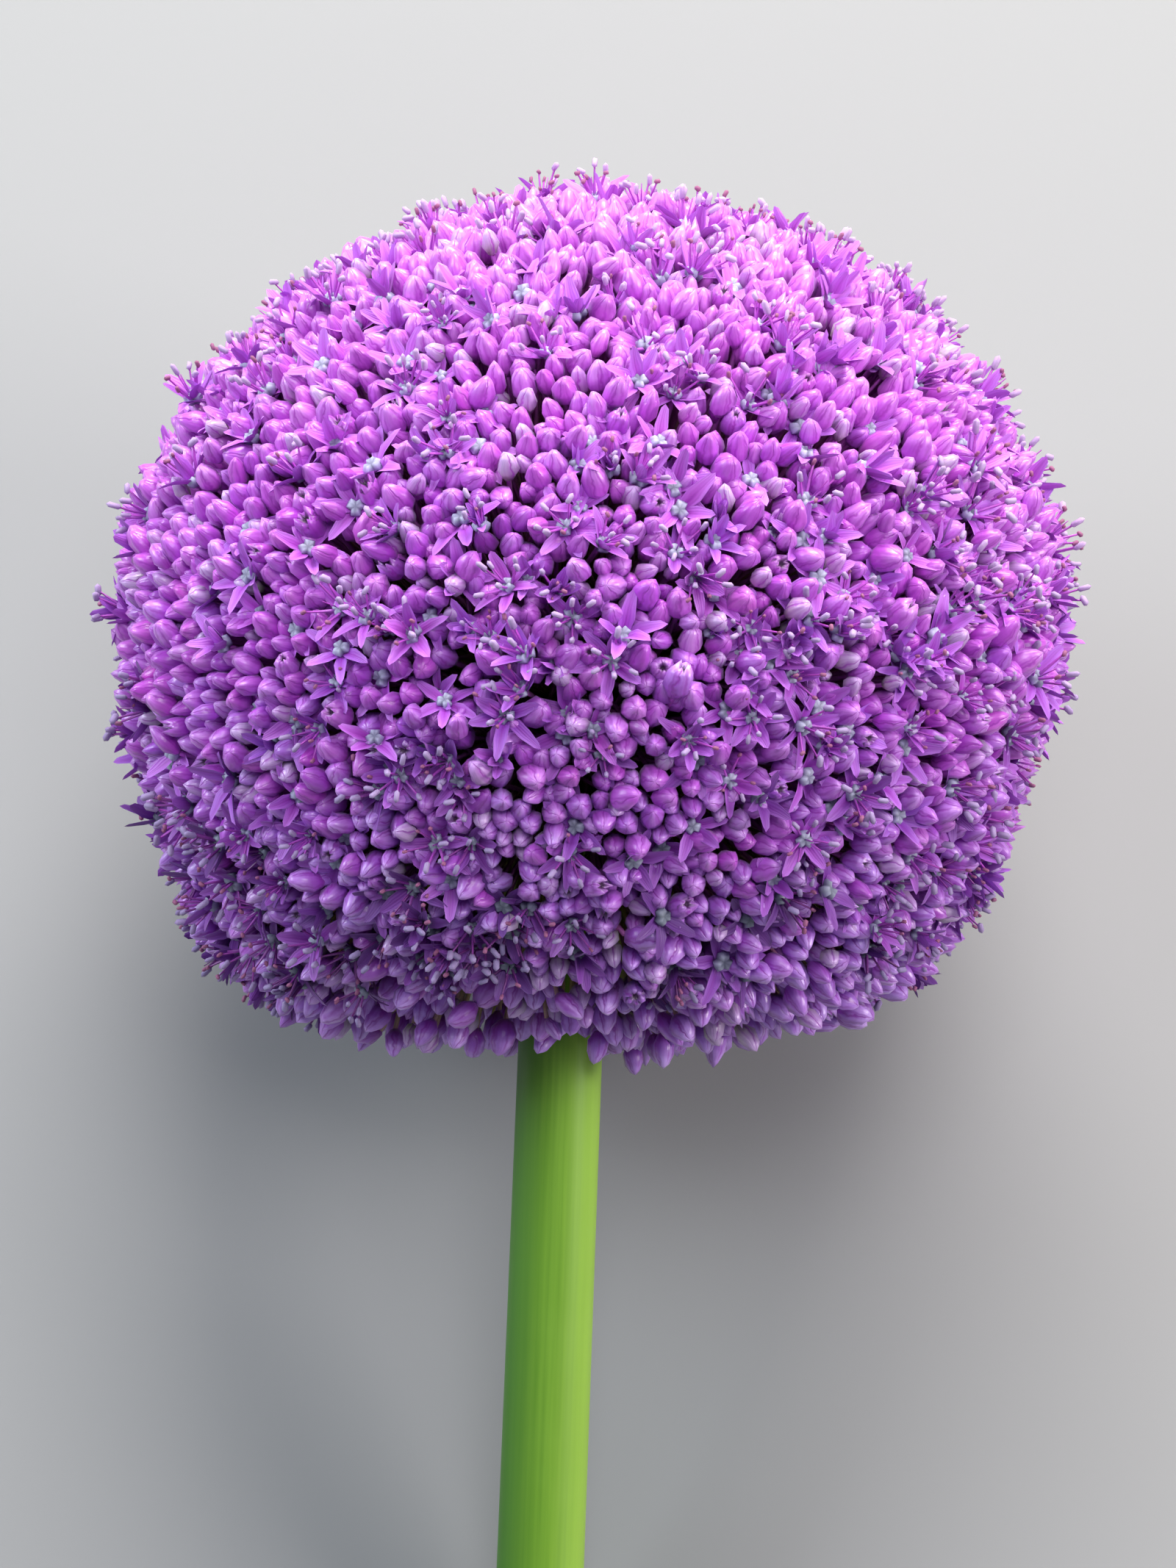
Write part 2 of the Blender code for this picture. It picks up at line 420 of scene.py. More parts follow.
def make_petal_material():
    material, tree, shader = new_material("open_petals", 0.45, specular_ior_level=0.4)
    add_sheen(shader, 0.15)
    along, chance, painted_light = (attribute(tree, name) for name in ("along", "chance", "painted_light"))
    across = place_of(tree, "spot", "X")
    # Painted light and painted shade: pinker high on the head, more violet and darker low on it.
    body = petal_colour(tree, painted_light, chance, PETAL_PLUM, PETAL_VIOLET)
    # Painted light: the deep colour of the veins is warmer high on the head.
    deep = blend(tree, painted_light, DEEP_PURPLE, PAINTED_LIGHT_PURPLE)
    rim = sum_up(tree, "POWER", sum_up(tree, "ABSOLUTE", across), 2.0)
    lit = blend(tree, times(tree, rim, 0.5), body, PETAL_RIM)
    middle = ramp(tree, sum_up(tree, "ABSOLUTE", across), [(0.06, 0.6), (0.42, 0)])
    veined = blend(tree, middle, lit, deep)
    fine = veins(tree, across, 15.0, 1.5, 1.0)
    lined = blend(tree, times(tree, fine, 0.22), veined, deep)
    tip = ramp(tree, along, [(0.3, 0), (0.9, 0.4)])
    tipped = blend(tree, tip, lined, PETAL_RIM)
    # Painted shade: darker at the petal's base, in the flower's middle.
    base_shade = ramp(tree, along, [(0, 0.5), (0.35, 0)])
    base_shaded = blend(tree, base_shade, tipped, deep)
    # Painted shade: darker low on the head.
    paint(tree, shader, painted_shade_below(tree, painted_light, base_shaded, 0.78, (0.065, 0.009, 0.13)))
    bump(tree, shader, fine, 0.3)
    return material


def make_filament_material():
    material, tree, shader = new_material("filament_purple", 0.4)
    along = attribute(tree, "along")
    colour = ramp(tree, along, [(0, (0.46, 0.32, 0.66)), (0.3, (0.46, 0.10, 0.58)), (1, (0.42, 0.04, 0.44))])
    mottle = mottled(tree, 900.0, 0.6)
    flecked = blend(tree, mottle, colour, PALE_LILAC)
    # Painted shade: darker low on the head.
    dark = painted_shade_below(tree, attribute(tree, "painted_light"), flecked, 0.75, (0.06, 0.01, 0.08))
    paint(tree, shader, dark)
    return material


def make_anther_material():
    """Full anthers are a pale lilac grey. Those that have shed their pollen are a pinkish tan."""
    material, tree, shader = new_material("anther_pollen", 0.7)
    angle = angle_round_axis(tree)
    groove = veins(tree, angle, 2.0, 6.0, 0.2)
    # Painted light and painted shade: paler high on the head, darker low on it.
    full = blend(tree, attribute(tree, "painted_light"), (0.28, 0.22, 0.42), (0.58, 0.38, 0.64))
    fresh = blend(tree, times(tree, groove, 0.5), full, (0.34, 0.22, 0.42))
    mottle = mottled(tree, 2500.0, 0.8)
    speckled = blend(tree, mottle, fresh, (0.28, 0.18, 0.36))
    paint(tree, shader, blend(tree, attribute(tree, "spent"), speckled, (0.32, 0.10, 0.21)))
    bump(tree, shader, mottle, 0.5)
    return material


def make_ovary_material():
    material, tree, shader = new_material("ovary_grey_green", 0.5)
    along = attribute(tree, "along")
    colour = ramp(tree, along, [(0, (0.21, 0.19, 0.30)), (0.4, (0.40, 0.38, 0.58)), (1, (0.56, 0.56, 0.74))])
    crease = attribute(tree, "crease")
    # Painted shade: darker in the dents between the lobes.
    crease_shaded = blend(tree, times(tree, crease, 0.8), colour, (0.08, 0.07, 0.14))
    mottle = mottled(tree, 3000.0, 0.6)
    speckled = blend(tree, mottle, crease_shaded, (0.56, 0.58, 0.78))
    # Painted shade: darker low on the head.
    dark = painted_shade_below(tree, attribute(tree, "painted_light"), speckled, 0.6, (0.08, 0.12, 0.12))
    paint(tree, shader, dark)
    bump(tree, shader, mottle, 0.4)
    return material


def make_stalk_material():
    """Green at the dome, flushed with purple towards the flower. The lowest stay green longer."""
    material, tree, shader = new_material("stalk_green_purple", 0.45)
    along = times_plus(tree, attribute(tree, "low"), -0.35, attribute(tree, "along"))
    greens = [(0, (0.36, 0.46, 0.08)), (0.55, (0.46, 0.38, 0.15))]
    purples = [(0.78, (0.52, 0.16, 0.44)), (1, (0.64, 0.15, 0.70))]
    colour = ramp(tree, along, greens + purples)
    mottle = mottled(tree, 500.0, 0.8)
    paint(tree, shader, blend(tree, mottle, colour, (0.45, 0.50, 0.22)))
    return material


OPEN_PETALS = make_petal_material()
FILAMENT = make_filament_material()
ANTHER = make_anther_material()
OVARY = make_ovary_material()
STALK = make_stalk_material()
print("made", ", ".join(m.name for m in (OPEN_PETALS, FILAMENT, ANTHER, OVARY, STALK)))

# %% [markdown]
# ## The small shapes
#
# Each floret is built of a few shapes: a bud, or petals, filaments, anthers and an ovary. All of
# them are closed tubes of changing width, so one function makes them all. It joins ring to ring,
# and closes each end in a point. A shape's base is at the origin and it grows up +Z. It is used
# hundreds of times, so it has only a few dozen faces.

# %% Make a closed shape from rings
def mesh_object(name, points, faces, attributes=None, sharp_above=None, links=()):
    """An object from points and faces, shaded smooth. Each attribute has one value a point."""
    mesh = bpy.data.meshes.new(name)
    mesh.from_pydata([tuple(p) for p in points], links, faces)
    for label, values in (attributes or {}).items():
        values = np.asarray(values, dtype=float)
        kind, field = ("FLOAT_VECTOR", "vector") if values.ndim == 2 else ("FLOAT", "value")
        layer = mesh.attributes.new(label, kind, "POINT")
        layer.data.foreach_set(field, values.ravel())
    mesh.shade_smooth()
    if sharp_above is not None:
        mesh.set_sharp_from_angle(angle=sharp_above)
    mesh.update()
    return bpy.data.objects.new(name, mesh)


def round_point(radius, angle, height):
    return Vector((radius * math.cos(angle), radius * math.sin(angle), height))


def ring_shape(name, sides, steps, place, ends, sharp_above=None, marks=None):
    """Rings of points from place(angle, along), and a point at each end. Each mark is a number a point."""
    points, along, spot = [ends[0]], [0.0], [(0, 0, 0)]
    for step in steps:
        for side in range(sides):
            angle = side / sides * math.tau
            points.append(place(angle, step))
            along.append(min(step, 1.0))
            spot.append((math.cos(angle), math.sin(angle), 0))
    points.append(ends[1])
    along.append(1.0)
    spot.append((0, 0, 0))
    top, last = len(points) - 1, 1 + (len(steps) - 1) * sides
    faces = []
    for side in range(sides):
        after = (side + 1) % sides
        faces.append((0, 1 + after, 1 + side))
        faces.append((last + side, last + after, top))
        for ring in range(len(steps) - 1):
            low = 1 + ring * sides
            faces.append((low + side, low + after, low + sides + after, low + sides + side))
    attributes = {"along": along, "spot": spot, **(marks or {})}
    return mesh_object(name, points, faces, attributes, sharp_above)


print("shape helper ready")

# %% [markdown]
# The bud is an egg with a blunt point. Near the tip its cross-section has three strong lobes and
# three weak ones, for the outer and the inner petals folded over each other. A splitting bud is
# the same egg, open at the top, with the petals' tips standing apart round a hollow, which is
# painted near black as painted shade.

# %% Buds
BUD_LENGTH = 5.6 * MM
BUD_WIDTH = 3.7 * MM
BUD_SIDES = 12
BUD_STEPS = (0.06, 0.32, 0.64, 0.89)
RIM_STEPS = (0.06, 0.34, 0.70, 0.94)
TIGHT_CROWN = ((0.97, 0.80, 0.90, 0.76, 1.00, 0.82, 0.93, 0.78, 0.88, 0.80, 0.95, 0.77),
               (0.62, 0.90, 0.74, 0.84, 0.56, 0.92, 0.66, 0.86, 0.80, 0.94, 0.60, 0.84))
LOOSE_CROWN = ((1.02, 0.66, 0.94, 0.70, 1.06, 0.68, 0.96, 0.64, 1.00, 0.70, 0.90, 0.66),
               (1.05, 0.98, 0.84, 0.92, 1.16, 1.02, 0.80, 0.94, 1.10, 0.96, 0.88, 1.00))


def egg(along, fullness=0.75, lift=0.85):
    """How wide an egg is, from 0 to 1, at this share of its length."""
    return math.sin(math.pi * along**lift) ** fullness


def bud_place(length, width, bend=0.0, fullness=0.75, oval=0.0):
    def place(angle, along):
        outer, groove = math.cos(3 * angle), (1 - math.cos(6 * angle)) / 2
        lobes = 1 + (0.02 + 0.15 * along**2) * outer - (0.03 + 0.08 * along) * groove
        lobes += oval * math.cos(2 * angle + 0.7)
        radius = width / 2 * egg(along, fullness) * lobes
        return Vector((radius * math.cos(angle) + bend * along**2, radius * math.sin(angle), length * along))

    return place


def splitting_place(crown):
    """As a bud, but the fourth ring is a crown of uneven petal tips and the fifth is down inside."""
    heights, radii = crown

    def place(angle, along):
        side = round(angle / math.tau * BUD_SIDES)
        if along == 1.0:
            radius, height = min(radii) * 0.45 * MM, 0.74
        elif along == RIM_STEPS[-1]:
            radius, height = radii[side] * MM, heights[side]
        else:
            return bud_place(BUD_LENGTH, BUD_WIDTH * 1.03, fullness=0.58)(angle, along)
        return round_point(radius, angle, BUD_LENGTH * height)

    return place


def make_bud(label, length, width, bend, fullness, oval=0.0, sides=BUD_SIDES, steps=BUD_STEPS):
    place = bud_place(length, width, bend, fullness, oval)
    return ring_shape(f"bud_{label}", sides, steps, place, [(0, 0, 0), (bend * 1.1, 0, length)])


def make_splitting_bud(label, crown):
    # The points down inside mark the hollow, which the finish paints near black as shade.
    hollow = [0.0] * (1 + BUD_SIDES * len(RIM_STEPS)) + [1.0] * (BUD_SIDES + 1)
    ends = [(0, 0, 0), (0, 0, BUD_LENGTH * 0.68)]
    return ring_shape(f"bud_splitting_{label}", BUD_SIDES, (*RIM_STEPS, 1.0), splitting_place(crown), ends,
                      marks={"hollow": hollow})


CLOSED_BUDS = [
    make_bud("straight", BUD_LENGTH, BUD_WIDTH, 0.0, 0.64),
    make_bud("bent", BUD_LENGTH * 1.03, BUD_WIDTH * 0.96, 0.55 * MM, 0.62, 0.06),
    make_bud("slim", BUD_LENGTH * 1.08, BUD_WIDTH * 0.88, -0.35 * MM, 0.78),
    make_bud("plump", BUD_LENGTH * 0.95, BUD_WIDTH * 1.06, 0.25 * MM, 0.53, -0.07),
    make_bud("oval", BUD_LENGTH, BUD_WIDTH, -0.6 * MM, 0.60, 0.10),
]
SPLITTING_BUDS = [make_splitting_bud("tight", TIGHT_CROWN), make_splitting_bud("loose", LOOSE_CROWN)]
INNER_STEPS = (0.08, 0.42, 0.82)
INNER_BUDS = [make_bud("inner", BUD_LENGTH, BUD_WIDTH, 0.4 * MM, 0.6, 0.0, 9, INNER_STEPS),
              make_bud("inner_slim", BUD_LENGTH, BUD_WIDTH * 0.9, -0.3 * MM, 0.7, 0.05, 9, INNER_STEPS)]
print("bud shapes:", [shape.name for shape in CLOSED_BUDS + SPLITTING_BUDS + INNER_BUDS])

# %% [markdown]
# A petal is a thin blade, folded along its middle like a shallow gutter. Three petals that curl
# differently keep the open flowers from looking stamped. A filament is a thread that is broad at
# its foot, and its anther is a small capsule fastened at the middle of its back, so it may stand
# up, lean or nod. Two of the anther shapes have shed their pollen and shrivelled. The ovary has
# three lobes, each with a shallow dent, round a thin style.

# %% Parts of the open flower
PETAL_LENGTH = 6.0 * MM
PETAL_HALF_WIDTH = 0.98 * MM
PETAL_THICKNESS = 0.16 * MM
PETAL_GUTTER = 0.42
FILAMENT_LENGTH = 5.6 * MM
FILAMENT_BOW = 0.4 * MM
ANTHER_WIDTH = 0.84 * MM
ANTHER_SIDES = 5
OVARY_RADIUS = 1.45 * MM
OVARY_HEIGHT = 2.0 * MM
STYLE_LENGTH = 3.6 * MM


def make_petal(label, curl, width, steps=(0.06, 0.3, 0.62, 0.92)):
    """curl is how far the tip bends away from the flower's axis, as a share of the length."""

    def bow(along):
        return -curl * PETAL_LENGTH * along**2

    def place(angle, along):
        half = width * egg(along, 0.45, 0.9)
        fold = PETAL_GUTTER * half * abs(math.cos(angle))
        return Vector((half * math.cos(angle), bow(along) + fold + PETAL_THICKNESS / 2 * math.sin(angle),
                       PETAL_LENGTH * along * (1 - 0.3 * curl**2 * along)))

    tip = (0, bow(1), PETAL_LENGTH * (1 - 0.3 * curl**2))
    return ring_shape(f"petal_{label}", 4, steps, place, [(0, 0, 0), tip], sharp_above=math.radians(60))


def filament_place(angle, along):
    radius = (0.40 - 0.26 * along**0.5) * MM
    return Vector((radius * math.cos(angle), radius * math.sin(angle) - FILAMENT_BOW * along**2,
                   FILAMENT_LENGTH * along))


def make_anther(label, length, lean, width=ANTHER_WIDTH, spent=0.0):
    """A capsule whose middle is on the filament's tip, leaning by this angle. A spent one has shrivelled."""
    turn = Matrix.Rotation(lean, 3, "X")
    holder = Vector((0, -FILAMENT_BOW, FILAMENT_LENGTH + 0.1 * MM))

    def place(angle, along):
        radius = width / 2 * (1 - 0.12 * math.cos(2 * angle))
        return holder + turn @ round_point(radius, angle, (along - 0.5) * length)

    ends = [holder + turn @ Vector((0, 0, side * length / 2)) for side in (-1, 1)]
    marks = {"spent": [spent] * (2 * ANTHER_SIDES + 2)}
    return ring_shape(f"anther_{label}", ANTHER_SIDES, (0.2, 0.8), place, ends, marks=marks)


OVARY_SIDES = 12
OVARY_PROFILE = {0.15: 0.78, 0.60: 1.0, 0.94: 0.62}
OVARY_LOBES = (0.60, 0.98, 0.93, 0.98)
OVARY_CREASES = (1.0, 0.0, 0.5, 0.0)


def ovary_place(angle, along):
    side = round(angle / math.tau * OVARY_SIDES)
    radius = OVARY_RADIUS * OVARY_PROFILE[along] * OVARY_LOBES[side % 4]
    sink = 0.12 * OVARY_HEIGHT * OVARY_CREASES[side % 4] * along
    return round_point(radius, angle, OVARY_HEIGHT * along - sink)


def style_place(angle, along):
    radius = (0.16 - 0.08 * along) * MM
    return round_point(radius, angle, OVARY_HEIGHT * 0.7 + STYLE_LENGTH * along)


PETALS = [
    make_petal("spread", 0.12, PETAL_HALF_WIDTH),
    make_petal("curled", 0.36, PETAL_HALF_WIDTH * 0.85),
    make_petal("cupped", -0.16, PETAL_HALF_WIDTH * 1.08),
]
FADED_PETALS = [make_petal("faded", 0.3, PETAL_HALF_WIDTH, (0.08, 0.5, 0.9)),
                make_petal("faded_cupped", -0.1, PETAL_HALF_WIDTH, (0.08, 0.5, 0.9))]
FILAMENTS = [ring_shape("filament", 3, (0.3, 0.96), filament_place,
                        [(0, 0, 0), (0, -FILAMENT_BOW, FILAMENT_LENGTH)])]
ANTHERS = [
    make_anther("upright", 2.2 * MM, math.radians(6)),
    make_anther("leaning", 1.8 * MM, math.radians(34)),
    make_anther("nodding", 2.0 * MM, math.radians(-20)),
    make_anther("bent", 1.8 * MM, math.radians(56)),
    make_anther("spent", 1.0 * MM, math.radians(60), 0.6 * MM, 1.0),
    make_anther("spent_upright", 1.2 * MM, math.radians(-20), 0.55 * MM, 1.0),
]
OVARY_MARKS = {"crease": [0.0, *OVARY_CREASES * (3 * len(OVARY_PROFILE)), 1.0]}
OVARIES = [ring_shape("ovary", OVARY_SIDES, tuple(OVARY_PROFILE), ovary_place,
                      [(0, 0, 0), (0, 0, OVARY_HEIGHT * 0.72)], marks=OVARY_MARKS)]
STYLES = [ring_shape("style", 3, (0.02, 0.98), style_place,
                     [(0, 0, OVARY_HEIGHT * 0.65), (0, 0, OVARY_HEIGHT * 0.7 + STYLE_LENGTH)])]
FLOWER_SHAPES = PETALS + FADED_PETALS + FILAMENTS + ANTHERS + OVARIES + STYLES
print("flower shapes:", [shape.name for shape in FLOWER_SHAPES])

# %% [markdown]
# ## Where each floret stands
#
# The tips of the florets make the ball. Points in a golden-angle spiral share out a ball evenly,
# as they do in a sunflower, and a small push each way hides the spiral's pattern. There are two
# spirals, one for the outer florets and one for those deeper in. The outline swells and sinks a
# little, and the underside is thinner. A floret's stalk leaves the dome in the direction of its
# tip. The lowest stalks turn down past the dome's side, to hang beside the scape.

# %% Set out the florets
OUTER_FLORETS = 3480
INNER_FLORETS = 3450
LOWEST_TIP = math.radians(166)
LOWEST_ROOT = math.radians(124)
GOLDEN_ANGLE = math.pi * (3 - math.sqrt(5))
SWELLINGS = (((-0.60, 0.0, -0.80), 0.12), ((0.50, 0.0, -0.86), 0.055), ((0.0, 0.0, -1.0), -0.03),
             ((0.86, 0.0, 0.50), -0.03), ((0.95, 0.0, -0.31), -0.05), ((-0.75, 0.0, 0.66), -0.01),
             ((-0.90, 0.0, -0.44), -0.035), ((0.62, 0.0, 0.78), 0.015))
SWELLING_TIGHTNESS = 10.0
THIN_BELOW = -0.80
THIN_SHARE = 0.52
RANDOM = np.random.default_rng(11)


def unit(vectors):
    return vectors / np.linalg.norm(vectors, axis=-1, keepdims=True)


def around(polar, azimuth):
    """Unit vectors at these angles from straight up and round the scape."""
    flat = np.sin(polar)
    return np.stack([flat * np.cos(azimuth), flat * np.sin(azimuth), np.cos(polar)], axis=-1)


def spread_over_ball(count):
    """Unit vectors over the whole ball, in a spiral with a small random push."""
    step = np.arange(count)
    spiral = around(np.arccos(1 - 2 * (step + 0.5) / count), step * GOLDEN_ANGLE)
    spacing = math.sqrt(4 * math.pi / count)
    return unit(spiral + RANDOM.normal(0, 0.34 * spacing, spiral.shape))


def outline_of_head(on_ball):
    """Where the head ends in these directions: a flattened ball that swells and sinks a little."""
    reach = np.ones(len(on_ball))
    for direction, amount in SWELLINGS:
        reach += amount * np.exp(SWELLING_TIGHTNESS * (on_ball @ np.array(direction) - 1))
    return head_middle + on_ball * head_half * reach[:, None]


on_ball = np.concatenate([spread_over_ball(OUTER_FLORETS), spread_over_ball(INNER_FLORETS)])
outer = np.arange(len(on_ball)) < OUTER_FLORETS
outline = outline_of_head(on_ball)
polar = np.arccos(unit(outline)[:, 2])
full = (on_ball[:, 2] > THIN_BELOW) | (RANDOM.random(len(on_ball)) < THIN_SHARE)
growing = (polar < LOWEST_TIP) & full
on_ball, outer, outline, polar = on_ball[growing], outer[growing], outline[growing], polar[growing]
azimuth = np.arctan2(outline[:, 1], outline[:, 0])
roots = 0.98 * DOME_RADIUS * around(polar * LOWEST_ROOT / LOWEST_TIP, azimuth)
aims = unit(unit(outline - roots) + RANDOM.normal(0, 0.20, outline.shape))
print(f"{len(outline)} florets")

# %% [markdown]
# The florets don't open together. About one in eight has opened. Three stretches of the head
# flower less, each to its own degree, one low stretch flowers more, and nothing is open at the
# bottom edge or near the ground. The rest are buds, some of them splitting and some young, pale
# and short. A bud's tip is near the ball's outline. An open flower's middle lies deeper, and its
# anthers reach out to the outline. The first flowers to open are fading, and have been
# overtopped by the others, so they lie deepest.

# %% Choose each floret's stage and its place along its stalk
NO_OPEN_BELOW = 8.0 * MM
STAGES = ("ripe", "splitting", "young", "open", "inner", "faded")
LENGTH_OF = dict(zip(STAGES, (BUD_LENGTH, BUD_LENGTH, BUD_LENGTH * 0.9, 0.0, BUD_LENGTH, 0.0)))
DEPTH_OF = dict(zip(STAGES, ((0.0, 2.4), (0.2, 2.4), (0.4, 2.8), (4.0, 6.0), (1.4, 3.4), (4.4, 6.4))))
INNER_YOUNG_DEPTH = 1.6 * MM
RAGGED_DEPTH = 6.0 * MM
LUMP_DEPTH = 0.7 * MM
LUMPS = np.array([[22.0, 9.0, -15.0], [-12.0, 18.0, 20.0]])
FLOWERY_SIDE = np.array([-0.66, -0.25, -0.71])
BUDDED_SIDES = np.array([[0.70, -0.50, -0.51], [0.98, 0.10, -0.15], [-0.96, -0.25, 0.10]])
HOW_BUDDED = (0.30, 0.55, 0.90)
USUAL_OPEN_SHARE = 0.135
FLOWERY_SHARE = 0.20
SPLITTING_ABOVE, YOUNG_ABOVE = 0.82, 0.89
INNER_YOUNG_ABOVE, INNER_FADED_ABOVE = 0.62, 0.79
NO_FADED_BELOW = -0.74
budded = (HOW_BUDDED * np.exp(6.0 * (on_ball @ BUDDED_SIDES.T - 1))).max(axis=1)


def in_world(places):
    return places @ np.array(LAY_DOWN.to_3x3()).T + np.array(LAY_DOWN.translation)


def choose_stages():
    """One word for each floret."""
    height = on_ball[:, 2]
    patches = np.sin(on_ball @ np.array([5.0, 3.0, -4.0]) + 1.0)
    patches = patches * np.sin(on_ball @ np.array([-3.0, 6.0, 4.0]))
    open_share = USUAL_OPEN_SHARE + 0.03 * on_ball[:, 0] + 0.08 * np.clip(height - 0.4, 0, 1)
    open_share += 0.02 * patches
    open_share += FLOWERY_SHARE * np.exp(SWELLING_TIGHTNESS * (on_ball @ FLOWERY_SIDE - 1))
    open_share *= 1 - budded
    open_share *= np.clip((height + 0.93) * 7, 0, 1)
    draw = RANDOM.random(len(on_ball))
    stages = np.where(outer, "ripe", "inner").astype(object)
    stages[outer & (draw > SPLITTING_ABOVE)] = "splitting"
    stages[outer & (draw > YOUNG_ABOVE)] = "young"
    stages[outer & (draw < open_share)] = "open"
    stages[~outer & (draw > INNER_YOUNG_ABOVE)] = "young"
    faded = draw > INNER_FADED_ABOVE + 0.19 * budded
    stages[~outer & faded & (height > NO_FADED_BELOW)] = "faded"
    low = in_world(outline)[:, 2] < NO_OPEN_BELOW
    stages[low & (stages == "open")] = "ripe"
    stages[low & (stages == "faded")] = "inner"
    return stages


stages = choose_stages()
sizes = np.clip(RANDOM.normal(1.0, 0.09, len(stages)), 0.8, 1.13)
sizes[stages == "young"] *= 0.85
lengths = np.array([LENGTH_OF[stage] for stage in stages]) * sizes
depths = np.array([RANDOM.uniform(*DEPTH_OF[stage]) for stage in stages]) * MM
depths[(stages == "young") & ~outer] += INNER_YOUNG_DEPTH
depths += RANDOM.uniform(0, RAGGED_DEPTH, len(stages)) * np.clip((-0.70 - on_ball[:, 2]) * 6, 0, 1)
depths += LUMP_DEPTH * (1 + np.sin(on_ball @ LUMPS[0]) * np.sin(on_ball @ LUMPS[1] + 1.0))
bases = outline - aims * (depths + lengths)[:, None]
print({stage: int((stages == stage).sum()) for stage in STAGES})

# %% [markdown]
# Real florets jostle for room. Where two are closer than their widths allow, both are pushed
# sideways a little, over several rounds. The first rounds count each floret as wider than it is,
# which evens out the crowd. Last, any floret that would reach below the ground is
# drawn back along its own axis.

# %% Make room between the florets
ROOM_OF = dict(zip(STAGES, (1.76, 1.76, 1.42, 2.3, 1.25, 1.25)))
ROUNDS = (1.15, 1.1, 1.05, 1.0, 1.0, 1.0, 1.0, 1.0)
rooms = np.array([ROOM_OF[stage] for stage in stages]) * MM * sizes


def push_apart(bases, rooms):
    """One round of pushing. Each crowded floret moves across its own axis by a share of the overlap."""
    middles = bases + aims * np.maximum(lengths / 2, 1.5 * MM)[:, None]
    tree = KDTree(len(middles))
    for index, middle in enumerate(middles):
        tree.insert(middle, index)
    tree.balance()
    pushes = np.zeros_like(bases)
    for index, middle in enumerate(middles):
        for _, other, distance in tree.find_range(middle, rooms[index] + rooms.max()):
            overlap = rooms[index] + rooms[other] - distance
            if other != index and overlap > 0:
                pushes[index] += 0.3 * overlap * (middle - middles[other]) / max(distance, 1e-6)
    return bases + pushes - aims * (pushes * aims).sum(axis=1, keepdims=True)


def lift_off_ground(bases):
    slopes = (aims @ np.array(LAY_DOWN.to_3x3()).T)[:, 2]
    middles = in_world(bases + aims * lengths[:, None] / 2)[:, 2]
    half = BUD_WIDTH * 0.56 * sizes
    lowest = middles - np.sqrt((lengths * 0.56 * slopes) ** 2 + half**2 * (1 - slopes**2))
    short = np.clip(0.7 * MM - lowest, 0, None)
    return bases - aims * (short / np.clip(-slopes, 0.25, 1))[:, None]


for width in ROUNDS:
    bases = push_apart(bases, rooms * width)
bases = lift_off_ground(bases)
print(f"{len(bases)} florets set out")

# %% [markdown]
# ## The tree that sets the small parts out
#
# Each floret is one point that carries its direction, size, turn and age. The tree makes as many
# copies of the point as the part needs, such as six for the petals, turns each copy round the
# floret's axis, leans it outwards, and puts one of the shapes there.

# %% Geometry Nodes: parts round the florets
def read(tree, name, kind="FLOAT"):
    return out(add(tree, "GeometryNodeInputNamedAttribute", {"Name": name}, data_type=kind))


def random_between(tree, low, high, seed, kind="FLOAT"):
    return out(add(tree, "FunctionNodeRandomValue", {"Min": low, "Max": high, "Seed": seed}, data_type=kind))


def turn_by(tree, rotation, x=0.0, z=0.0):
    """The rotation, turned further about its own axes."""
    angles = out(add(tree, "ShaderNodeCombineXYZ", {"X": x, "Z": z}))
    return out(add(tree, "FunctionNodeRotateRotation", {"Rotation": rotation, "Rotate By": angles},
                   rotation_space="LOCAL"))


